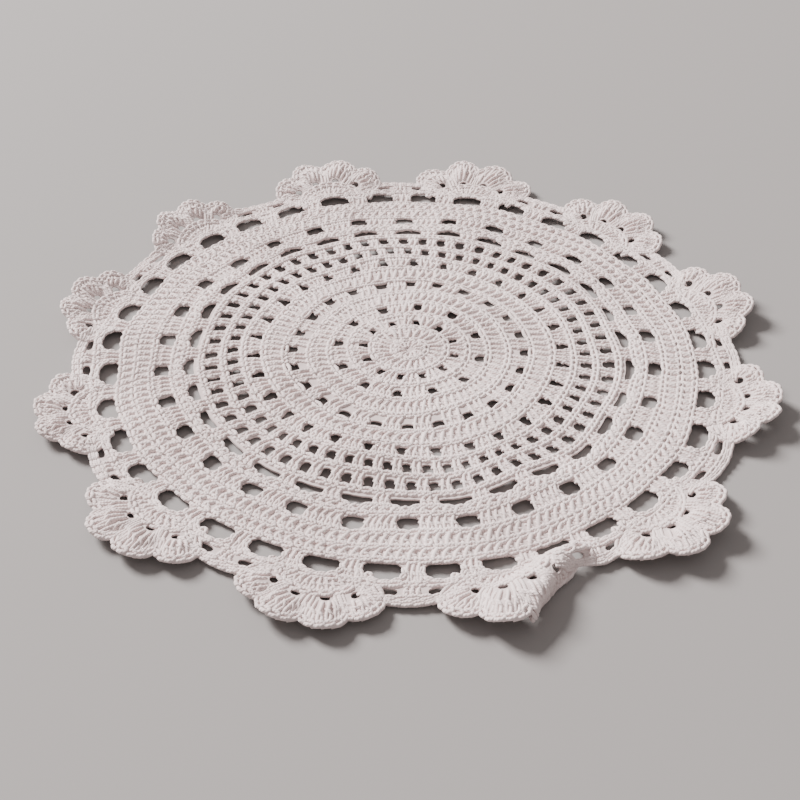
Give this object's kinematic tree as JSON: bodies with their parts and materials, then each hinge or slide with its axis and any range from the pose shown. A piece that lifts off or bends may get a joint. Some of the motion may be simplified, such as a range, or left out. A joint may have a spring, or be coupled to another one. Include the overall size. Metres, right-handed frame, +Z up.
{
  "type": "lace doily",
  "caption": "Round crocheted cotton lace doily with rings of eyelets, chain loops round the middle and a scalloped rim of fan-shaped shells, lying flat with its edge lifting a little.",
  "frame": {"origin": "on the resting surface, under the middle of the ring of chain loops", "axes": "+Z up out of the surface, -Y towards the viewer, +X to the viewer's right"},
  "size_m": [0.1921, 0.1967, 0.0063],
  "materials": {
    "cotton": "matte crocheted cotton, off-white with a faint pink cast"
  },
  "bodies": {
    "root": {"doily": "cotton"}
  },
  "joints": []
}
